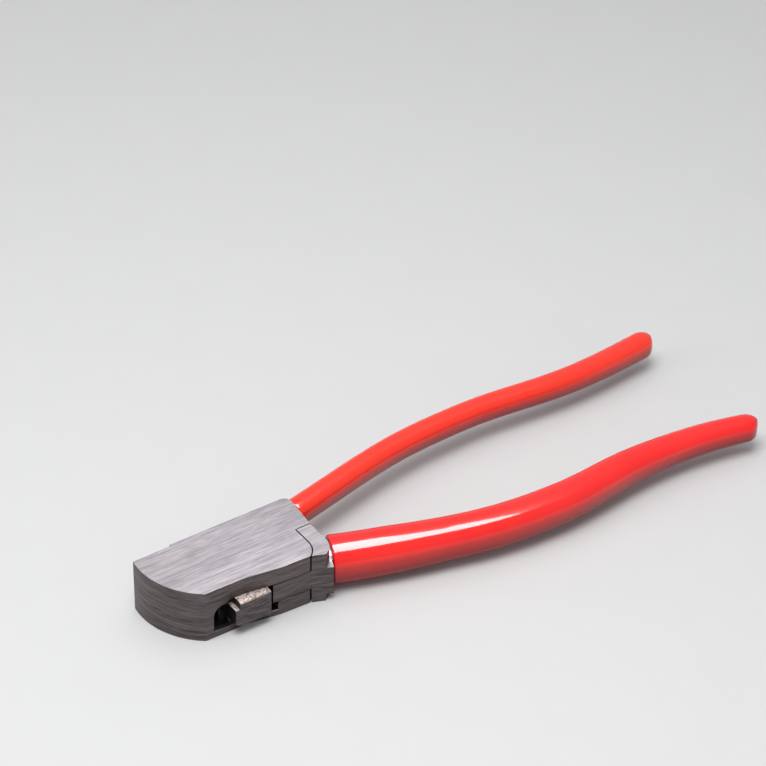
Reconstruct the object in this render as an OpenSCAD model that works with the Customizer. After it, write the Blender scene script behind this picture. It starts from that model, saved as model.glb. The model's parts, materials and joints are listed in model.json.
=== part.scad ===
// Hand-held key cutter: a plier whose moving handle drives a V punch through a key blade.
// Lies flat with its back plate down: +X from nose to handle ends, +Y to the fixed handle.
// Lengths in millimetres. The outline is laid out from the nose tip, then centred.

/* [Overall] */
// Length from the nose to the ends of the grips
overall_l = 205; // [200:1:212]
// Thickness of the head
head_h = 18; // [17.5:0.5:20]

/* [Head] */
// Thickness of the upper cheek, which covers the lever
cheek_t = 5.8; // [5.4:0.1:6]
// Thickness of the back plate
plate_t = 5; // [4.5:0.1:5.2]
// Radius of the rounded nose
nose_r = 24.4; // [23.5:0.1:25.5]
// Far side of the head, measured from the centreline
far_y = 14.6; // [14.2:0.1:15.5]
// Depth of the shallow step in the far side near the nose
nose_step = 0.6; // [0.2:0.1:0.8]
// Running gap of the seam between frame and lever
seam = 0.4; // [0.3:0.05:0.5]

/* [Pivot and drive] */
// Distance of the pivot from the nose
pivot_x = 41; // [40.8:0.1:41.2]
// Distance of the pivot below the centreline
pivot_drop = 6.8; // [6.6:0.1:7]
// Radius of the pivot pin
pin_r = 3; // [2.5:0.1:3.1]
// Radius at which the frame wraps round the pivot
knuckle_r = 6.8; // [6.6:0.1:7]
// Angle by which the moving handle opens
open_deg = 18; // [12:1:18]
// Distance from the pivot to the drive roller
drive_arm = 9.5; // [9.4:0.1:9.6]
// Radius of the drive roller
roller_r = 3.5; // [3.3:0.1:3.5]

/* [Jaw block] */
// Width of the jaw block
block_w = 12.2; // [11:0.2:12.4]
// Height of the jaw block
block_h = 8.6; // [7.6:0.2:8.8]
// How far the jaw block stands out from the carriage
block_out = 4.6; // [4:0.1:5.4]

/* [Key slot] */
// Width of the slot that the key blade goes into
key_gap = 2.6; // [2.4:0.1:2.6]
// Included angle of the cut
cut_angle = 90; // [80:5:100]
// Flat at the bottom of the cut
cut_flat = 1.2; // [0.8:0.1:1.4]

/* [Handles] */
// Half width of the moving grip at the head
grip_r0 = 6.9; // [6.6:0.1:7]
// Half width of the grips at their ends
grip_r1 = 4.2; // [4:0.1:4.6]
// Half width of the slimmer fixed grip
slim_r = 4.1; // [3.9:0.1:4.4]
// Wall thickness of the dipped grips
grip_wall = 1.3; // [1:0.1:1.5]
// Length of steel missing at the end of each grip
shank_short = 14; // [10:1:20]

/* [Hidden] */

eps = 0.01;
cut = 30;
run_fit = 0.05;
press_fit = 0.01;
side_fit = 0.15;

// Layers from the underside up
slot_z0 = plate_t;
slot_z1 = head_h - cheek_t;
mid_z = (slot_z0 + slot_z1) / 2;
washer_t = 0.25;
tongue_z0 = slot_z0 + 0.3;
tongue_z1 = slot_z1 - 0.3;

// Pivot, and the drive point at rest: the arm leans half the swing to the nose side
pivot_y = -pivot_drop;
lean = open_deg / 2;
drive_x = pivot_x - drive_arm * sin(lean);
drive_y = pivot_y + drive_arm * cos(lean);

// Seam lines on the top face
seam_x = pivot_x + knuckle_r;
seam_y = 0.3;

// Key slot, die and stripper, in order along X
mouth_x = 13;
mouth_depth_y = -6;
die_w = 3.8;
die_face = 14.4;
gap_end = die_face + key_gap;
stripper_t = 1.15;
key_floor = 2.2;

// Carriage
carriage_x0 = 18.6;
carriage_x1 = 45;
head_x1 = 28.2;
carriage_y0 = -0.6;
carriage_y1 = 8.9;
jaw_y = -8.9;
gib_t = 1.2;
wall_y = carriage_y1 + gib_t + 0.1;
rear_wall_x = 49.6;
rib_y0 = 5.5;
rib_w = 2.5;
rib_h = 1.75;

// Punch section
punch_y = -2.5;
punch_half = 2.5;
punch_top = 11.8;
punch_low = 7.9;
punch_rise = (punch_half - cut_flat / 2) / tan(cut_angle / 2);
punch_tip = die_face - 0.3;
punch_end = 23.2;

// Lever
lever_front = 32.45;
hub_r = 5.6;
neck_half = 2.5;
lug_r = 3;
lug_gap = 3.2;
roller_t = 3;
drive_pin_r = 1.75;
bush_r = 4;

// Fasteners: radius, head radius and head height of each size
screw_r = 1.25;
screw_head_r = 2.4;
screw_head_h = 1.5;
small_r = 1;
plate_screw_at = [[6.5, 9.3], [20.5, 12.4], [44, 12.4], [51.2, 5.5]];
plate_screw_up = 6;
dowel_at = [[4.6, 4], [32, 12.5]];
dowel_r = 1;
gib_screw_x = [26, 40];
stop_at = [33.9, -4.25];
stop_r = 1.3;
chute_at = [8, -1.9];
chute_r = 2.5;
die_screw_at = [12.5, 2.9];
jaw_screw_x = 25.6;

// Handle centrelines: distance along X, distance from the centreline, slope
moving_pts = [[54, 7.2, 0.4], [96, 20.5, 0.26], [128, 24.5, 0.02], [160, 22.2, -0.02], [201, 26.9, 0.28]];
fixed_pts = [[54, 12.4, 0.23], [96, 22.4, 0.19], [128, 25.3, 0.03], [160, 23.4, -0.06], [201, 25.9, 0.13]];
moving_radius = [[54, grip_r0], [72, 6.8], [90, 6.2], [129, 5.9], [151, 5.45], [174, 4.7], [200, grip_r1]];
fixed_radius = [[54, slim_r], [150, slim_r - 0.1], [200, grip_r1]];
fixed_height = [[54, 12], [201, 9]];
squareness = 2.6;
lever_root = 54.9;
frame_root = 54.9;
slant = 0.2;
grip_end = overall_l - grip_r1 - slant;
shank_end = grip_end - shank_short + grip_r1;
sides = 20;
ring_gap = 6;

// ---- Shared shapes ----

// Hermite curve through the points of one handle: side is 1 for the fixed handle, -1 for the moving one
function handle_pts(side) = side > 0 ? fixed_pts : moving_pts;
function span(pts, x, i = 0) =
    i >= len(pts) - 2 || x < pts[i + 1][0] ? i : span(pts, x, i + 1);
function hermite(p, q, u) =
    let (w = q[0] - p[0])
    (2 * u * u * u - 3 * u * u + 1) * p[1] + (u * u * u - 2 * u * u + u) * w * p[2]
    + (3 * u * u - 2 * u * u * u) * q[1] + (u * u * u - u * u) * w * q[2];
function handle_y(side, x) =
    let (pts = handle_pts(side), i = span(pts, x), p = pts[i], q = pts[i + 1])
    hermite(p, q, (x - p[0]) / (q[0] - p[0]));
function handle_slope(side, x) = (handle_y(side, x + 0.1) - handle_y(side, x - 0.1)) / 0.2;
function handle_z(side, x) = side > 0 ? lookup(x, fixed_height) : mid_z;
function grip_r(side, x) = lookup(x, side > 0 ? fixed_radius : moving_radius);

// One ring of a handle: a rounded square section, half_w across and half_h up
function rounded(c) = sign(c) * pow(abs(c), 2 / squareness);
function ring(side, x, half_w, half_h) =
    let (a = atan(side * handle_slope(side, x)), y = side * handle_y(side, x), z = handle_z(side, x))
    [for (j = [0 : sides - 1])
        let (t = 360 * j / sides, w = half_w * rounded(cos(t)))
        [x - w * sin(a), y + w * cos(a), z + half_h * rounded(sin(t))]];

// Stations of [x, half width, half height] along a handle, evenly spaced
function stations(side, x0, x1, less) =
    let (n = ceil((x1 - x0) / ring_gap))
    [for (i = [0 : n])
        let (x = x0 + (x1 - x0) * i / n, r = grip_r(side, x) - less)
        [x, r, r]];

// End of a grip: round seen from above, and nearly full height up to the tip
function tip(x, r) = [for (b = [20, 40, 58, 72, 82])
    [x + r * sin(b), r * cos(b), r * (0.62 + 0.38 * cos(b))]];

// Solid swept along a handle through its stations
module handle_sweep(side, st) {
    n = len(st);
    pts = [for (s = st) each ring(side, s[0], s[1], s[2])];
    walls = [for (i = [0 : n - 2]) for (j = [0 : sides - 1])
        let (k = (j + 1) % sides)
        [i * sides + j, (i + 1) * sides + j, (i + 1) * sides + k, i * sides + k]];
    start = [for (j = [0 : sides - 1]) j];
    end = [for (j = [sides - 1 : -1 : 0]) (n - 1) * sides + j];
    polyhedron(pts, concat([start], walls, [end]));
}

// Dipped grip: a closed tapering tube
module grip(side, root) {
    difference() {
        handle_sweep(side, concat(stations(side, root, grip_end, 0), tip(grip_end, grip_r1)));
        handle_sweep(side, stations(side, root - 1, shank_end + 0.3, grip_wall - run_fit));
    }
}

// Steel core of a handle, rooted in its body
module shank(side, root) {
    handle_sweep(side, stations(side, root - 3, shank_end, grip_wall));
}

// Slab between two heights from a flat outline
module slab(z0, z1) {
    translate([0, 0, z0]) linear_extrude(z1 - z0) children();
}

// Upright round bar or hole
module post(at, r, z0, z1) {
    translate([at[0], at[1], z0]) cylinder(r = r, h = z1 - z0, $fn = 48);
}

// Bar or hole of given radius along Y
module bar_y(x, z, r, y0, y1) {
    translate([x, y0, z]) rotate([-90, 0, 0]) cylinder(r = r, h = y1 - y0, $fn = 48);
}

// Solid with the section of the punch, grown by some clearance
module punch_prism(x0, x1, grow) {
    half = punch_half + grow;
    flat = cut_flat / 2 + grow / 2;
    translate([x0, punch_y, 0]) rotate([90, 0, 90]) linear_extrude(x1 - x0)
        polygon([[-half, punch_top + grow], [-half, punch_low + punch_rise - grow / 2],
                 [-flat, punch_low - grow], [flat, punch_low - grow],
                 [half, punch_low + punch_rise - grow / 2], [half, punch_top + grow]]);
}

// Near edge of the head, shared by the frame and the lever
near_edge = [[10, -9.9], [24, -10.15], [35, -12], [45, -12.45]];

// Arc of points about a centre
function arc(c, r, a0, a1, n) =
    [for (i = [0 : n]) let (a = a0 + (a1 - a0) * i / n) [c[0] + r * cos(a), c[1] + r * sin(a)]];

// Whole head seen from above, without the tail of the lever
module head_outline() {
    corner_r = 2.3;
    intersection() {
        polygon(concat([[0, -9.9]], near_edge, [[53.1, -12.8], [53.1, seam_y]],
                       arc([54.2 - corner_r, far_y - corner_r], corner_r, 0, 90, 8),
                       [[13.1, far_y], [13.1, far_y - nose_step], [0, far_y - nose_step]]));
        union() {
            translate([nose_r, 10]) circle(r = nose_r, $fn = 180);
            translate([nose_r, -cut]) square([60, 2 * cut]);
        }
    }
}

// Cheek: the head less the corner where the lever's tail comes up
module cheek_outline() {
    difference() {
        head_outline();
        translate([seam_x, -cut]) square([cut, cut + seam_y]);
        difference() {
            translate([pivot_x, pivot_y - cut]) square([cut, cut]);
            translate([pivot_x, pivot_y]) circle(r = knuckle_r, $fn = 90);
        }
    }
}

// Space between the cheeks: key mouth, key slot, carriage bay and lever bay
module slot_outline() {
    polygon([[mouth_x, -cut], [mouth_x, mouth_depth_y], [die_face, mouth_depth_y],
             [die_face, cut], [gap_end, cut], [gap_end, wall_y], [rear_wall_x, wall_y],
             [rear_wall_x, seam_y], [60, seam_y], [60, -cut]]);
}

// ---- Frame pieces ----

// Rounded top corner of the key mouth, as seen on the near side, with a low ceiling up to the jaw block
module mouth_arch() {
    arch_r = 3.4;
    ceiling = 1;
    translate([0, mouth_depth_y, 0]) rotate([90, 0, 0]) linear_extrude(4.1) difference() {
        polygon([[mouth_x - eps, slot_z1 + eps], [mouth_x - eps, slot_z1 - ceiling - arch_r],
                 [mouth_x + arch_r, slot_z1 - ceiling - arch_r], [mouth_x + arch_r, slot_z1 - ceiling],
                 [carriage_x0 - 1.4, slot_z1 - ceiling], [carriage_x0 - 0.3, slot_z1 + eps]]);
        translate([mouth_x + arch_r, slot_z1 - ceiling - arch_r]) circle(r = arch_r, $fn = 60);
    }
}

module head_frame() {
    color("silver") translate([-overall_l / 2, 0, 0]) difference() {
        union() {
            slab(slot_z1, head_h) cheek_outline();
            slab(slot_z0, slot_z1 + eps) difference() {
                head_outline();
                slot_outline();
            }
            intersection() {
                mouth_arch();
                slab(0, head_h) head_outline();
            }
            shank(1, frame_root);
        }
        // Die pocket, chip chute and groove for the stripper
        translate([die_face - die_w, -6.6, slot_z0 - eps]) cube([die_w + eps, 11.2, 8.7 + eps]);
        post(chute_at, chute_r, slot_z0 - eps, slot_z1);
        translate([gap_end, -6, slot_z1 - eps]) cube([stripper_t + 0.05, 14.8, 1.3]);
        // Groove that guides the carriage
        translate([21, rib_y0 - 0.05, slot_z1 - eps]) cube([28, rib_w + 0.1, rib_h + 0.2]);
        // Pivot, stop pin, dowels and screws
        post([pivot_x, pivot_y], pin_r, slot_z1 - eps, head_h - 2);
        post(stop_at, stop_r, slot_z1 - eps, slot_z1 + 2.3);
        post(die_screw_at, small_r, slot_z1, slot_z1 + 4);
        for (p = dowel_at) post(p, dowel_r, slot_z0 - eps, slot_z0 + 4.1);
        for (p = plate_screw_at) post(p, screw_r, slot_z0 - eps, slot_z0 + plate_screw_up + 0.2);
        for (x = gib_screw_x) bar_y(x, mid_z, screw_r, wall_y - eps, cut);
        for (x = gib_screw_x) bar_y(x, mid_z, screw_head_r, far_y - screw_head_h, cut);
    }
}

module back_plate() {
    way_x1 = 34;
    color("darkgray") translate([-overall_l / 2, 0, 0]) difference() {
        slab(0, plate_t) cheek_outline();
        // Mouth and the way of the jaw block, open to the near side
        slab(key_floor, cut) polygon([[mouth_x, -cut], [mouth_x, mouth_depth_y],
            [carriage_x0, mouth_depth_y], [carriage_x0, jaw_y + 0.2], [way_x1, jaw_y + 0.2],
            [way_x1, -cut]]);
        translate([die_face, -cut, key_floor]) cube([key_gap, 2 * cut, cut]);
        post(chute_at, chute_r, -1, cut);
        post([pivot_x, pivot_y], pin_r, -1, cut);
        post([pivot_x, pivot_y], pin_r + 1.5, -1, 2);
        post(stop_at, stop_r, 2, cut);
        for (p = dowel_at) post(p, dowel_r, 1, cut);
        for (p = plate_screw_at) post(p, screw_r, -1, cut);
        for (p = plate_screw_at) post(p, screw_head_r, -1, screw_head_h);
        post(die_screw_at, 1.8, plate_t - 0.7, cut);
    }
}

// Cap screw along Z, head down, with a hexagon socket
module cap_screw(r, head_r, head_h, length) {
    difference() {
        union() {
            cylinder(r = head_r - 0.05, h = head_h, $fn = 48);
            cylinder(r = r - press_fit, h = length, $fn = 48);
        }
        translate([0, 0, -eps]) cylinder(r = head_r * 0.5, h = head_h * 0.65, $fn = 6);
    }
}

module plate_screws() {
    color("dimgray") translate([-overall_l / 2, 0, 0])
        for (p = plate_screw_at) translate([p[0], p[1], 0.05])
            cap_screw(screw_r, screw_head_r, screw_head_h - 0.05, plate_t + plate_screw_up);
}

module dowel_pins() {
    color("gray") translate([-overall_l / 2, 0, 0])
        for (p = dowel_at) post(p, dowel_r - press_fit, 1.05, slot_z0 + 4);
}

module pivot_pin() {
    color("gray") translate([-overall_l / 2, 0, 0]) difference() {
        union() {
            post([pivot_x, pivot_y], pin_r - press_fit, 0.05, head_h - 2.1);
            post([pivot_x, pivot_y], pin_r + 1.45, 0.05, 1.98);
        }
        post([pivot_x, pivot_y], 1, -1, 1.2);
        translate([pivot_x - 3, pivot_y - 0.5, -1]) cube([6, 1, 1.8]);
    }
}

module thrust_washers() {
    color("goldenrod") translate([-overall_l / 2, 0, 0])
        for (z = [slot_z0 + 0.02, slot_z1 - washer_t - 0.02]) difference() {
            post([pivot_x, pivot_y], hub_r - 0.3, z, z + washer_t);
            post([pivot_x, pivot_y], pin_r + run_fit, z - 1, z + 1);
        }
}

module stop_pin() {
    color("gray") translate([-overall_l / 2, 0, 0])
        post(stop_at, stop_r - press_fit, 2.05, slot_z1 + 2.2);
}

module die() {
    color("dimgray") translate([-overall_l / 2, 0, 0]) difference() {
        translate([die_face - die_w + 0.02, -6.55, slot_z0 + 0.02]) cube([die_w - 0.02, 11.1, 8.6]);
        punch_prism(0, cut, 0.08);
        post(die_screw_at, small_r, 0, cut);
        post(die_screw_at, 1.75, 0, slot_z0 + 1.2);
    }
}

module die_screw() {
    color("dimgray") translate([-overall_l / 2, 0, 0])
        translate([die_screw_at[0], die_screw_at[1], slot_z0 - 0.4])
            cap_screw(small_r, 1.75, 1.5, 10);
}

module stripper_plate() {
    color("gray") translate([-overall_l / 2, 0, 0]) difference() {
        translate([gap_end + 0.02, -5.8, slot_z0 + 0.02])
            cube([stripper_t, 14.4, slot_z1 - slot_z0 + 1.2]);
        punch_prism(0, cut, 0.15);
    }
}

module gib_strip() {
    color("goldenrod") translate([-overall_l / 2, 0, 0]) difference() {
        translate([20, carriage_y1 + run_fit, slot_z0 + 0.05])
            cube([29, gib_t, slot_z1 - slot_z0 - 0.1]);
        for (x = gib_screw_x) bar_y(x, mid_z, screw_r, carriage_y1 + 0.5, cut);
    }
}

module gib_screws() {
    color("dimgray") translate([-overall_l / 2, 0, 0])
        for (x = gib_screw_x) translate([x, far_y - 0.05, mid_z]) rotate([90, 0, 0])
            cap_screw(screw_r, screw_head_r, screw_head_h - 0.05, far_y - carriage_y1 - 0.6);
}

module fixed_grip() {
    color("red") translate([-overall_l / 2, 0, 0]) grip(1, frame_root);
}

// ---- Moving handle ----

// Tail of the lever at full height: its near side flares out to a large rounded corner
tail_x = 53.05;
tail_r = 6.2;
tail_corner = arc([tail_x - tail_r, -8.4], tail_r, -68, 0, 12);
module tail_outline() {
    difference() {
        polygon(concat([[43, near_edge[3][1] + 0.2], near_edge[3]], tail_corner,
                       arc([tail_x - 0.8, -0.8], 0.8, 0, 90, 4), [[43, 0]]));
        translate([pivot_x, -cut]) square([knuckle_r + seam, cut + pivot_y]);
        translate([pivot_x, pivot_y]) circle(r = knuckle_r + seam, $fn = 90);
        translate([0, pivot_y - eps]) square([seam_x + seam, cut]);
    }
}

// Corner of the tail that lies outside the knuckle, below the pivot
module tail_heel() {
    difference() {
        polygon(concat([[43, near_edge[3][1] + 0.09], near_edge[3]], tail_corner,
                       [[tail_x, pivot_y + eps], [43, pivot_y + eps]]));
        translate([pivot_x, pivot_y]) circle(r = knuckle_r + seam, $fn = 90);
    }
}

// Neck between the tail and the root of the grip, flush with the flared near side
module neck_outline() {
    polygon([[49, -14.08], [51.5, -15.1], [56.3, -2.8], [53, -0.4], [49, -3]]);
}

// Tongue between the cheeks: front nose and hub
module tongue_outline() {
    polygon([[lever_front, -8], [lever_front, lookup(lever_front, near_edge)], near_edge[2], near_edge[3],
             [50, -14], [53, -0.4], [seam_x + seam, 0], [46.2, -3], [pivot_x, pivot_y + 1], [36.2, -8]]);
    translate([pivot_x, pivot_y]) circle(r = hub_r, $fn = 90);
}

// Arm that reaches up to the drive roller
module arm_outline() {
    translate([pivot_x, pivot_y]) rotate(lean) translate([-neck_half, 0])
        square([2 * neck_half, drive_arm]);
    translate([drive_x, drive_y]) circle(r = lug_r, $fn = 60);
}

module lever() {
    color("silver") translate([-overall_l / 2, 0, 0]) difference() {
        union() {
            slab(tongue_z0, tongue_z1) tongue_outline();
            slab(tongue_z0, tongue_z1) arm_outline();
            slab(0, head_h) tail_outline();
            slab(0, head_h) tail_heel();
            slab(2.6, 12.6) neck_outline();
            shank(-1, lever_root);
        }
        post([pivot_x, pivot_y], bush_r, 0, cut);
        post([drive_x, drive_y], drive_pin_r, 0, cut);
        post([drive_x, drive_y], roller_r + 0.3, mid_z - lug_gap / 2, mid_z + lug_gap / 2);
    }
}

module pivot_bush() {
    color("goldenrod") translate([-overall_l / 2, 0, 0]) difference() {
        post([pivot_x, pivot_y], bush_r - press_fit, tongue_z0, tongue_z1);
        post([pivot_x, pivot_y], pin_r + run_fit, 0, cut);
    }
}

module drive_pin() {
    color("gray") translate([-overall_l / 2, 0, 0])
        post([drive_x, drive_y], drive_pin_r - press_fit, tongue_z0 + 0.1, tongue_z1 - 0.1);
}

module moving_grip() {
    color("red") translate([-overall_l / 2, 0, 0]) grip(-1, lever_root);
}

module drive_roller() {
    color("dimgray") translate([-overall_l / 2, 0, 0]) difference() {
        post([drive_x, drive_y], roller_r, mid_z - roller_t / 2, mid_z + roller_t / 2);
        post([drive_x, drive_y], drive_pin_r + run_fit, 0, cut);
    }
}

// ---- Carriage ----

module carriage() {
    z0 = slot_z0 + run_fit;
    z1 = slot_z1 - run_fit;
    color("gray") translate([-overall_l / 2, 0, 0]) difference() {
        union() {
            slab(z0, z1) polygon([[carriage_x0, jaw_y], [head_x1, jaw_y], [head_x1, carriage_y0],
                [carriage_x1, carriage_y0], [carriage_x1, carriage_y1], [carriage_x0, carriage_y1]]);
            translate([22, rib_y0, z1 - eps]) cube([22, rib_w, rib_h]);
        }
        // Slot for the drive roller
        translate([drive_x - roller_r - side_fit, -cut, 0])
            cube([2 * (roller_r + side_fit), cut + pivot_y + drive_arm + roller_r + 0.3, slot_z1]);
        punch_prism(0, punch_end + 0.05, 0.02);
        post([21, punch_y], screw_r, 0, punch_low);
        bar_y(jaw_screw_x, mid_z, screw_r, jaw_y - 1, 0);
        bar_y(jaw_screw_x, mid_z, 2.2, -5, cut);
    }
}

module punch() {
    color("gainsboro") translate([-overall_l / 2, 0, 0]) punch_prism(punch_tip, punch_end, 0);
}

module punch_screw() {
    color("dimgray") translate([-overall_l / 2, 0, 0]) difference() {
        post([21, punch_y], screw_r - press_fit, slot_z0 + 0.3, punch_low - 0.01);
        translate([21, punch_y, 0]) cylinder(r = 0.7, h = slot_z0 + 1.5, $fn = 6);
    }
}

// Block with a ledge on its nose side for the key blade, and a wing that passes in front of the lever
module jaw_block() {
    x0 = 18.4;
    x1 = x0 + block_w;
    top = slot_z1 - 0.1;
    bottom = top - block_h;
    ledge = 1.35;
    wing_y = -10.9;
    brow = 0.5;
    color("slategray") translate([-overall_l / 2, 0, 0]) difference() {
        translate([0, jaw_y - 0.01, 0]) rotate([90, 0, 0]) linear_extrude(block_out)
            polygon([[x0 + 2.2, bottom], [x1, bottom], [x1, top], [x0 + ledge + 0.35, top],
                     [x0 + ledge, top - 2], [x0, top - 2], [x0, bottom + 1.2]]);
        translate([head_x1, wing_y, 0]) cube([block_w, cut, cut]);
        translate([0, jaw_y - block_out, top]) rotate([45, 0, 0]) translate([0, -brow / 2, -brow / 2])
            cube([2 * cut, brow, brow]);
        bar_y(jaw_screw_x, mid_z, screw_r, jaw_y - 3.4, 0);
    }
}

module jaw_screw() {
    color("dimgray") translate([-overall_l / 2, 0, 0])
        translate([jaw_screw_x, -3, mid_z]) rotate([90, 0, 0])
            cap_screw(screw_r, 2.15, 1.98, 9);
}

head_frame();
back_plate();
plate_screws();
dowel_pins();
pivot_pin();
thrust_washers();
stop_pin();
die();
die_screw();
stripper_plate();
gib_strip();
gib_screws();
fixed_grip();
lever();
pivot_bush();
drive_pin();
moving_grip();
drive_roller();
carriage();
punch();
punch_screw();
jaw_block();
jaw_screw();
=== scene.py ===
import json
import math

import bmesh
import bpy
from mathutils import Matrix, Vector

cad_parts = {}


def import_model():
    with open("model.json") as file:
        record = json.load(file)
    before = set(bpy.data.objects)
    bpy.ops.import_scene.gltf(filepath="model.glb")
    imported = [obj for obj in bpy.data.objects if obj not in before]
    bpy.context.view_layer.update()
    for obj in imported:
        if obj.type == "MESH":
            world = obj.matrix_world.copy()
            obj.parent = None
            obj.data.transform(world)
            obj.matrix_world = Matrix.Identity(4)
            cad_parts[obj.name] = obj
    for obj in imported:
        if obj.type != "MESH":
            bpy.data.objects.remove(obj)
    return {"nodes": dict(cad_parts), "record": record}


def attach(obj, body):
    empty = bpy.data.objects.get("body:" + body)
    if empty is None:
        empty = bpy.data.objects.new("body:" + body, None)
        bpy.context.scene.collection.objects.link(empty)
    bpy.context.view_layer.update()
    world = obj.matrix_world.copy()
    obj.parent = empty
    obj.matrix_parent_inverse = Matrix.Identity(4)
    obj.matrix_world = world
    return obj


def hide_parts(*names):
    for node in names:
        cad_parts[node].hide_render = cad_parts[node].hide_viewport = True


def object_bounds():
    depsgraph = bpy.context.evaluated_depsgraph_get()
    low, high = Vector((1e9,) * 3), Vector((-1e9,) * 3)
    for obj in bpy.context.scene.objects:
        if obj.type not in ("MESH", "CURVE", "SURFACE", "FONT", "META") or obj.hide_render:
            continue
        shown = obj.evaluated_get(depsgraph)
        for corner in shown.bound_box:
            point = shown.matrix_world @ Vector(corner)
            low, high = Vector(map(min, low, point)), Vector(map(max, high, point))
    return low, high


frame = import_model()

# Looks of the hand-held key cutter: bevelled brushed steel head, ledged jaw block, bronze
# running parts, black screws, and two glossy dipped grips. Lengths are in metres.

MM = 0.001
Y, Z = 1, 2                 # places of the axes in a vector
LO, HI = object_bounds()
NODES = frame["nodes"]
NODE_SLOT = {s["node"]: s["material_slot"] for s in frame["record"]["subparts"]}
BODY_OF = {n: body for body, ns in frame["record"]["behaviour"]["bodies"].items() for n in ns}


# ---------------------------------------------------------------- node helpers

class Nodes:
    """Builds one procedural material around its Principled shader."""

    def __init__(self, name):
        self.mat = bpy.data.materials.new(name)
        self.mat.use_nodes = True
        self.tree = self.mat.node_tree
        self.shader = self.tree.nodes["Principled BSDF"]
        self.coord = self.add("ShaderNodeTexCoord")

    def add(self, kind, **settings):
        node = self.tree.nodes.new(kind)
        for key, value in settings.items():
            setattr(node, key, value)
        return node

    def link(self, source, target):
        self.tree.links.new(source, target)

    def put(self, socket, value):
        """Links a socket, or sets a constant."""
        if isinstance(value, bpy.types.NodeSocket):
            self.link(value, socket)
        else:
            socket.default_value = value

    def scaled(self, scale):
        """Object coordinates stretched by a scale along each axis."""
        mapping = self.add("ShaderNodeMapping")
        mapping.inputs["Scale"].default_value = scale
        self.link(self.coord.outputs["Object"], mapping.inputs["Vector"])
        return mapping.outputs["Vector"]

    def noise(self, vector, detail=2.0, rough=0.5):
        """Noise over coordinates that carry their own scale, so its Scale is 1."""
        node = self.add("ShaderNodeTexNoise")
        node.inputs["Scale"].default_value = 1.0
        node.inputs["Detail"].default_value = detail
        node.inputs["Roughness"].default_value = rough
        self.link(vector, node.inputs["Vector"])
        return node.outputs["Fac"]

    def math(self, operation, a, b=0.0):
        node = self.add("ShaderNodeMath", operation=operation)
        self.put(node.inputs[0], a)
        self.put(node.inputs[1], b)
        return node.outputs[0]

    def remap(self, value, lo, hi, to_lo, to_hi):
        """A value moved from the range lo to hi into another one, and held inside it."""
        node = self.add("ShaderNodeMapRange")
        self.put(node.inputs["Value"], value)
        for name, number in (("From Min", lo), ("From Max", hi), ("To Min", to_lo), ("To Max", to_hi)):
            node.inputs[name].default_value = number
        return node.outputs["Result"]

    def mix(self, fac, a, b):
        """Two colours mixed."""
        node = self.add("ShaderNodeMix", data_type="RGBA")
        self.put(node.inputs["Factor"], fac)
        for socket, colour in ((node.inputs[6], a), (node.inputs[7], b)):
            if isinstance(colour, bpy.types.NodeSocket):
                self.link(colour, socket)
            else:
                socket.default_value = (*colour, 1.0)
        return node.outputs[2]

    def mix_value(self, fac, a, b):
        """Two numbers mixed."""
        node = self.add("ShaderNodeMix", data_type="FLOAT")
        self.put(node.inputs["Factor"], fac)
        self.put(node.inputs[2], a)
        self.put(node.inputs[3], b)
        return node.outputs[0]

    def bump(self, height, distance, strength=1.0):
        node = self.add("ShaderNodeBump")
        node.inputs["Strength"].default_value = strength
        node.inputs["Distance"].default_value = distance
        self.link(height, node.inputs["Height"])
        self.link(node.outputs["Normal"], self.shader.inputs["Normal"])

    def axis(self, kind, axis):
        """One coordinate of the object's own Normal or Object position."""
        split = self.add("ShaderNodeSeparateXYZ")
        self.link(self.coord.outputs[kind], split.inputs[0])
        return split.outputs[axis]

    def facing(self, axis):
        """How far a face's own normal points along an axis, up or down: 0 to 1."""
        return self.math("ABSOLUTE", self.axis("Normal", axis))

    def set(self, **values):
        """Sets or links sockets of the shader by name, with underscores for spaces."""
        for key, value in values.items():
            socket = key.replace("_", " ").title().replace("Ior", "IOR")
            self.put(self.shader.inputs[socket], value)


def grey(level, warmth=0.0):
    """A grey whose red is raised and blue lowered by its warmth."""
    return (level * (1 + warmth), level, level * (1 - warmth))


# ---------------------------------------------------------------- materials

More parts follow.
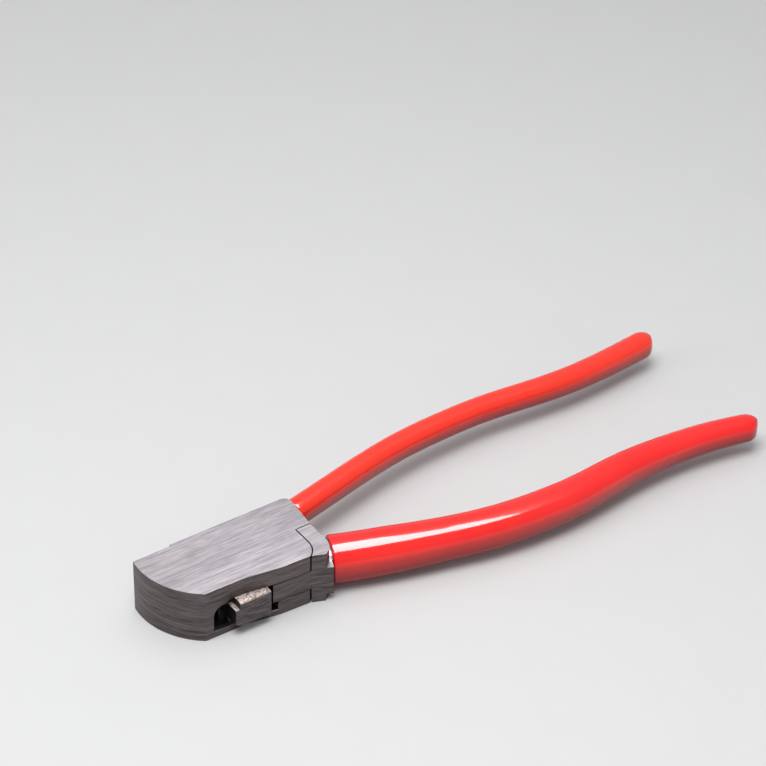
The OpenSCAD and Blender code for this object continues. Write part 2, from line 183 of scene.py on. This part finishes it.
def satin_steel():
    """Belt-brushed along the head on top; sides painted darker and warmer as shade and dark reflection;
    broken edges painted near-white, partly edge wear and partly a painted highlight.
    """
    dark_top, light_top = (0.150, 0.139, 0.149), (0.270, 0.252, 0.268)
    # The sides' darker, warmer colours are painted shade and dark reflection; the top keeps the lit steel
    # colour.
    shaded_side_dark, shaded_side_light = (0.070, 0.058, 0.058), (0.190, 0.162, 0.162)
    wear_and_highlight_edge, stained = (0.85, 0.80, 0.82), (0.11, 0.092, 0.09)
    m = Nodes("satin_steel")
    level = m.facing(Z)
    top = m.remap(level, 0.35, 0.9, 0.0, 1.0)
    # Bevel faces leaning between level and upright are painted near-white: partly edge wear, partly a
    # painted highlight.
    wear_and_highlight_mask = m.math("MULTIPLY", m.remap(level, 0.40, 0.55, 0, 1), m.remap(level, 0.85, 0.95, 1, 0))
    fine = m.mix_value(top, m.noise(m.scaled((170, 170, 3400)), detail=3.0, rough=0.65),
                       m.noise(m.scaled((170, 3400, 200)), detail=3.0, rough=0.65))
    broad = m.mix_value(top, m.noise(m.scaled((45, 45, 900))), m.noise(m.scaled((45, 900, 90))))
    cloud = m.noise(m.scaled((55, 80, 80)), detail=3.0)
    streak = m.mix_value(0.35, fine, broad)
    tone = m.remap(streak, 0.38, 0.62, 0.0, 1.0)
    lit_top = m.mix(tone, dark_top, light_top)
    # Painted shade: the sides take the darker copy of the brushed steel.
    side = m.mix(tone, shaded_side_dark, shaded_side_light)
    body = m.mix(wear_and_highlight_mask, m.mix(top, side, lit_top), wear_and_highlight_edge)
    stain = m.remap(cloud, 0.5, 0.72, 0.0, 0.25)
    m.set(base_color=m.mix(stain, body, stained), metallic=1.0)
    m.set(roughness=m.mix_value(streak, 0.34, 0.52))
    m.bump(streak, 0.00003, 0.6)
    return m.mat


def tool_steel():
    """Hardened steel of the pins, die and punch, painted near-black all over as shade for the inside of the
    mouth, with warm tempered patches.
    """
    tempered = (0.09, 0.075, 0.065)
    m = Nodes("tool_steel")
    turned = m.noise(m.scaled((400, 400, 2600)), detail=3.0)
    cloud = m.noise(m.scaled((190, 190, 190)), detail=4.0)
    # Painted shade: the steel's own grey is kept near-black so the mouth looks dark.
    clear = m.mix(m.remap(turned, 0.35, 0.65, 0, 1), grey(0.05, 0.02), grey(0.12, 0.02))
    m.set(base_color=m.mix(m.remap(cloud, 0.48, 0.7, 0, 0.5), clear, tempered), metallic=1.0)
    m.set(roughness=m.mix_value(turned, 0.25, 0.42))
    m.bump(turned, 0.00001, 0.4)
    return m.mat


def jaw_steel():
    """Ground front with level scratches, painted dark as shade and dark reflection, and rough brown scale
    on top.
    """
    # The front and sides take painted shade: their dark colours stand for shade and dark reflection.
    shaded_front_dark, shaded_front_light = (0.050, 0.042, 0.044), (0.17, 0.145, 0.15)
    dark_scale, light_scale = (0.14, 0.105, 0.095), (0.72, 0.60, 0.55)
    m = Nodes("jaw_steel")
    top = m.remap(m.facing(Z), 0.5, 0.85, 0.0, 1.0)
    scratch = m.noise(m.scaled((260, 500, 2600)), detail=3.0, rough=0.65)
    speck = m.noise(m.scaled((1700, 1700, 1700)), detail=4.0, rough=0.7)
    front = m.mix(m.remap(scratch, 0.36, 0.64, 0, 1), shaded_front_dark, shaded_front_light)
    scale = m.mix(m.remap(speck, 0.38, 0.62, 0, 1), dark_scale, light_scale)
    m.set(base_color=m.mix(top, front, scale), metallic=m.mix_value(top, 1.0, 0.4))
    m.set(roughness=m.mix_value(top, 0.38, 0.6))
    m.bump(m.mix_value(top, scratch, speck), 0.00007, 0.7)
    return m.mat


def black_oxide():
    """Near-black finish of the screws and the carriage, worn grey in places; on the carriage the near-black
    is also painted shade inside the mouth.
    """
    m = Nodes("black_oxide")
    wear = m.noise(m.scaled((900, 900, 900)), detail=4.0)
    # On the carriage this near-black also stands for the shade inside the mouth.
    m.set(base_color=m.mix(m.remap(wear, 0.45, 0.75, 0.0, 1.0), grey(0.022), grey(0.08, 0.04)))
    m.set(metallic=0.6, roughness=m.mix_value(wear, 0.3, 0.5))
    m.bump(wear, 0.00001, 0.5)
    return m.mat


def bronze():
    """Turned bearing bronze with brown patches."""
    dull, clean, brown = (0.55, 0.34, 0.13), (0.72, 0.48, 0.22), (0.30, 0.19, 0.09)
    m = Nodes("bronze")
    turned = m.noise(m.scaled((300, 300, 3200)), detail=2.0)
    cloud = m.noise(m.scaled((240, 240, 240)), detail=3.0)
    fresh = m.mix(turned, dull, clean)
    m.set(base_color=m.mix(m.remap(cloud, 0.5, 0.8, 0, 0.5), fresh, brown), metallic=1.0)
    m.set(roughness=m.mix_value(turned, 0.28, 0.42))
    m.bump(turned, 0.00001, 0.5)
    return m.mat


def dipped_pvc():
    """Thick glossy dip, painted darker red underneath as shade, a touch more orange on the far grip."""
    deep_red, bright_red = (0.90, 0.010, 0.008), (0.96, 0.016, 0.012)
    far_red, shaded_under_red = (0.97, 0.030, 0.010), (0.30, 0.003, 0.004)
    m = Nodes("red_grip")
    wave = m.noise(m.scaled((45, 110, 110)), detail=1.0)
    peel = m.noise(m.scaled((900, 900, 900)), detail=2.0)
    cloud = m.noise(m.scaled((38, 60, 60)), detail=2.0)
    place = m.axis("Object", Y)
    up = m.axis("Normal", Z)
    red = m.mix(m.remap(cloud, 0.35, 0.65, 0, 1), deep_red, bright_red)
    red = m.mix(m.remap(place, -0.004, 0.008, 0, 1), red, far_red)
    # Painted shade: faces turning downwards get the dark red.
    m.set(base_color=m.mix(m.remap(up, -0.15, 0.3, 0, 1), shaded_under_red, red))
    m.set(roughness=m.mix_value(peel, 0.16, 0.24), ior=1.55)
    m.set(coat_weight=m.remap(up, -0.35, 0.15, 0.12, 1.0), coat_roughness=0.03, coat_ior=1.45)
    m.set(specular_ior_level=0.25)
    m.bump(m.mix_value(0.12, wave, peel), 0.00005, 0.2)
    return m.mat


MATERIALS = {
    "satin_steel": satin_steel(),
    "tool_steel": tool_steel(),
    "jaw_steel": jaw_steel(),
    "black_oxide": black_oxide(),
    "bronze": bronze(),
    "red_grip": dipped_pvc(),
}


# ---------------------------------------------------------------- metal pieces

WELD = 0.002 * MM                   # vertices closer than this are one
LEVEL_ANGLE = math.radians(0.3)     # facets this close to level are merged
BREAK_ANGLE = math.radians(28)      # edges sharper than this are broken
SHADE_ANGLE = math.radians(20)      # edges sharper than this are shaded as edges
EDGE_SEGMENTS = 2
FLAT_AREA = 60 * MM * MM            # a face this large is shaded flat
LEVEL = 0.999                       # so is one whose normal is this close to upright


def finished(node, edge):
    """A copy of a machined CAD part with its edges broken, standing for that part."""
    mesh = bpy.data.meshes.new(node + "_finished")
    bm = bmesh.new()
    bm.from_mesh(NODES[node].data)
    bmesh.ops.remove_doubles(bm, verts=bm.verts, dist=WELD)
    bmesh.ops.dissolve_limit(bm, angle_limit=LEVEL_ANGLE, verts=bm.verts, edges=bm.edges)
    sharp = [e for e in bm.edges if len(e.link_faces) == 2 and e.calc_face_angle(0) > BREAK_ANGLE]
    bmesh.ops.bevel(bm, geom=sharp, offset=edge, segments=EDGE_SEGMENTS, profile=0.5,
                    affect="EDGES", clamp_overlap=True)
    bmesh.ops.triangulate(bm, faces=[f for f in bm.faces if len(f.verts) > 4])
    bm.to_mesh(mesh)
    bm.free()
    # The corner normals that came with the CAD mesh no longer fit the broken edges
    stale = mesh.attributes.get("custom_normal")
    if stale:
        mesh.attributes.remove(stale)
    for face in mesh.polygons:
        face.use_smooth = abs(face.normal.z) < LEVEL and face.area < FLAT_AREA
    mesh.set_sharp_from_angle(angle=SHADE_ANGLE)
    piece = bpy.data.objects.new(node + "_finished", mesh)
    bpy.context.scene.collection.objects.link(piece)
    piece.data.materials.append(MATERIALS[NODE_SLOT[node]])
    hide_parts(node)
    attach(piece, BODY_OF[node])


def keep(node):
    """A CAD part shown as it is, with its own procedural material."""
    NODES[node].data.materials.clear()
    NODES[node].data.materials.append(MATERIALS[NODE_SLOT[node]])


# Width of the broken edges of each machined part, in millimetres
EDGES = {"head_frame": 0.22, "lever": 0.22, "back_plate": 0.22, "jaw_block": 0.16, "carriage": 0.15}
for name, width in EDGES.items():
    finished(name, width * MM)

GRIPS = ("fixed_grip", "moving_grip")
for name in NODES:
    if name not in EDGES and name not in GRIPS:
        keep(name)


# ---------------------------------------------------------------- dipped grips

# Each handle as the CAD has it, in millimetres along the distance from the nose: its curve
# (distance from the head's centreline, and slope), half width, and height of the centre
MOVING = {
    "node": "moving_grip", "side": -1,
    "curve": ((54, 7.2, 0.4), (96, 20.5, 0.26), (128, 24.5, 0.02), (160, 22.2, -0.02), (201, 26.9, 0.28)),
    "half": ((54, 6.9), (72, 6.8), (90, 6.2), (129, 5.9), (151, 5.45), (174, 4.7), (200, 4.2)),
    "height": ((54, 8.6), (201, 8.6)),
}
FIXED = {
    "node": "fixed_grip", "side": 1,
    "curve": ((54, 12.4, 0.23), (96, 22.4, 0.19), (128, 25.3, 0.03), (160, 23.4, -0.06), (201, 25.9, 0.13)),
    "half": ((54, 4.1), (150, 4.0), (200, 4.2)),
    "height": ((54, 12.0), (201, 9.0)),
}
NOSE_X = LO.x / MM
GRIP_ROOT, GRIP_END = 54.9, 200.6
WALL, LIP = 1.3, 0.6                            # wall of the dip, and radius of its rolled lip
BORE_DEEP, BORE_SHALLOW, BORE_EASE = 6.0, 0.2, 0.02
LIP_STEP = 15                                   # degrees
END_ANGLES = (10, 20, 30, 40, 50, 60, 70, 78)   # degrees round the grip's end
END_FLAT = 0.62                                 # share of the height that stays at the end
TAPER_STEPS = 72
SQUARENESS = 2.6                                # 2 would make the section an ellipse
ROUND_SIDES = 48
GRIP_SHADE_ANGLE = math.radians(60)


def curve_at(curve, x):
    """Distance from the centreline, and slope, at a distance from the nose."""
    i = 0
    while i < len(curve) - 2 and x >= curve[i + 1][0]:
        i += 1
    (x0, y0, s0), (x1, y1, s1) = curve[i], curve[i + 1]
    w = x1 - x0
    u = (x - x0) / w
    y = ((2 * u**3 - 3 * u**2 + 1) * y0 + (u**3 - 2 * u**2 + u) * w * s0
         + (3 * u**2 - 2 * u**3) * y1 + (u**3 - u**2) * w * s1)
    slope = ((6 * u**2 - 6 * u) * (y0 - y1) / w
             + (3 * u**2 - 4 * u + 1) * s0 + (3 * u**2 - 2 * u) * s1)
    return y, slope


def between(table, x):
    """Straight-line value of a table at x, held at its ends."""
    i = 0
    while i < len(table) - 2 and x > table[i + 1][0]:
        i += 1
    (x0, v0), (x1, v1) = table[i], table[i + 1]
    u = min(max((x - x0) / (x1 - x0), 0.0), 1.0)
    return v0 + (v1 - v0) * u


def rounded(c):
    """A cosine or sine pulled outwards, for a section between an ellipse and a box."""
    return math.copysign(abs(c) ** (2 / SQUARENESS), c)


def grip_rows(handle):
    """Stations of (x, half width, half height): bore, rolled lip, long taper, round end."""
    root_r = between(handle["half"], GRIP_ROOT)
    bore_r = root_r - WALL - BORE_EASE
    rows = [(GRIP_ROOT + BORE_DEEP, bore_r), (GRIP_ROOT + BORE_SHALLOW, bore_r)]
    for b in range(0, 91, LIP_STEP):
        s, c = math.sin(math.radians(b)), math.cos(math.radians(b))
        rows.append((GRIP_ROOT + LIP * (1 - c), root_r - LIP * (1 - s)))
    start = GRIP_ROOT + LIP
    for k in range(1, TAPER_STEPS + 1):
        x = start + (GRIP_END - start) * k / TAPER_STEPS
        rows.append((x, between(handle["half"], x)))
    rows = [(x, r, r) for x, r in rows]
    end_r = handle["half"][-1][1]
    for b in END_ANGLES:
        s, c = math.sin(math.radians(b)), math.cos(math.radians(b))
        rows.append((GRIP_END + end_r * s, end_r * c, end_r * (END_FLAT + (1 - END_FLAT) * c)))
    return rows


def grip(handle):
    """One dipped grip, hollow at its root for the steel core."""
    side = handle["side"]
    bm = bmesh.new()
    rings = []
    for x, half_w, half_h in grip_rows(handle):
        y, slope = curve_at(handle["curve"], x)
        a = math.atan(side * slope)
        centre = Vector((x + NOSE_X, side * y, between(handle["height"], x)))
        ring = []
        for j in range(ROUND_SIDES):
            t = 2 * math.pi * j / ROUND_SIDES
            w = half_w * rounded(math.cos(t))
            p = centre + Vector((-w * math.sin(a), w * math.cos(a), half_h * rounded(math.sin(t))))
            ring.append(bm.verts.new(p * MM))
        rings.append(ring)
    for a, b in zip(rings, rings[1:]):
        for j in range(ROUND_SIDES):
            k = (j + 1) % ROUND_SIDES
            bm.faces.new((a[j], b[j], b[k], a[k]))
    bm.faces.new(rings[0])
    bm.faces.new(rings[-1])
    bmesh.ops.recalc_face_normals(bm, faces=bm.faces)
    mesh = bpy.data.meshes.new(handle["node"] + "_dip")
    bm.to_mesh(mesh)
    bm.free()
    mesh.shade_smooth()
    mesh.set_sharp_from_angle(angle=GRIP_SHADE_ANGLE)
    piece = bpy.data.objects.new(handle["node"] + "_dip", mesh)
    bpy.context.scene.collection.objects.link(piece)
    mesh.materials.append(MATERIALS["red_grip"])
    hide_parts(handle["node"])
    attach(piece, BODY_OF[handle["node"]])


grip(FIXED)
grip(MOVING)


# ---------------------------------------------------------------- stage, light, camera

FLOOR_HALF, FLOOR_DROP = 3.0, 0.1 * MM
WORLD_COLOUR, WORLD_STRENGTH = (0.97, 0.98, 1.0, 1.0), 0.45
AZIMUTH, ELEVATION, ROLL = math.radians(-35.5), math.radians(36.7), math.radians(1.36)
AIM = Vector((15.5, 55.5, 9.0)) * MM
DISTANCE = 0.889
LENS, SENSOR = 129.2, 36.0          # millimetres
CLIP = (0.01, 20)
OVERHEAD = (0.10, 0.12)             # place of the overhead box above the floor


def area_light(name, place, size, power, target=(0, 0, 0), diffuse=True, glossy=True):
    """A rectangular softbox that looks at a target."""
    data = bpy.data.lights.new(name, "AREA")
    data.shape = "RECTANGLE"
    data.size, data.size_y = size
    data.energy = power
    light = bpy.data.objects.new(name, data)
    light.location = place
    light.rotation_mode = "QUATERNION"
    light.rotation_quaternion = (Vector(target) - Vector(place)).to_track_quat("-Z", "Y")
    light.visible_diffuse = diffuse
    light.visible_glossy = glossy
    bpy.context.scene.collection.objects.link(light)


def floor():
    """A plain pale floor just under the tool."""
    m = Nodes("pale_floor")
    m.set(base_color=m.mix(m.noise(m.scaled((60, 60, 60))), grey(0.60), grey(0.62)), roughness=0.7)
    mesh = bpy.data.meshes.new("floor")
    corners = [(-1, -1), (1, -1), (1, 1), (-1, 1)]
    places = [(x * FLOOR_HALF, y * FLOOR_HALF, LO.z - FLOOR_DROP) for x, y in corners]
    mesh.from_pydata(places, [], [(0, 1, 2, 3)])
    mesh.materials.append(m.mat)
    piece = bpy.data.objects.new("floor", mesh)
    bpy.context.scene.collection.objects.link(piece)


def world():
    """Soft light from all round."""
    w = bpy.data.worlds.new("soft_studio")
    bpy.context.scene.world = w
    w.use_nodes = True
    background = w.node_tree.nodes["Background"]
    background.inputs["Color"].default_value = WORLD_COLOUR
    background.inputs["Strength"].default_value = WORLD_STRENGTH


def camera():
    """The view of the tool, from its near side and above."""
    back = Vector((math.sin(AZIMUTH) * math.cos(ELEVATION),
                   -math.cos(AZIMUTH) * math.cos(ELEVATION),
                   math.sin(ELEVATION)))
    data = bpy.data.cameras.new("camera")
    data.lens = LENS
    data.sensor_width = SENSOR
    data.clip_start, data.clip_end = CLIP
    cam = bpy.data.objects.new("camera", data)
    cam.location = AIM + back * DISTANCE
    look = (-back).to_track_quat("-Z", "Y")
    cam.rotation_mode = "QUATERNION"
    cam.rotation_quaternion = look @ Matrix.Rotation(ROLL, 4, "Z").to_quaternion()
    bpy.context.scene.collection.objects.link(cam)
    bpy.context.scene.camera = cam


floor()
world()
camera()
# The overhead box shows as the white band along the moving grip; the key gives soft shadows
area_light("overhead_box", (*OVERHEAD, 0.6), (0.36, 0.50), 8.0, target=(*OVERHEAD, 0), diffuse=False)
area_light("key", (-0.25, -0.15, 0.9), (0.5, 0.5), 7.0, glossy=False)
area_light("strip_left", (-0.75, 0.15, 0.45), (0.2, 0.8), 1.6)
bpy.context.scene.view_settings.view_transform = "Standard"
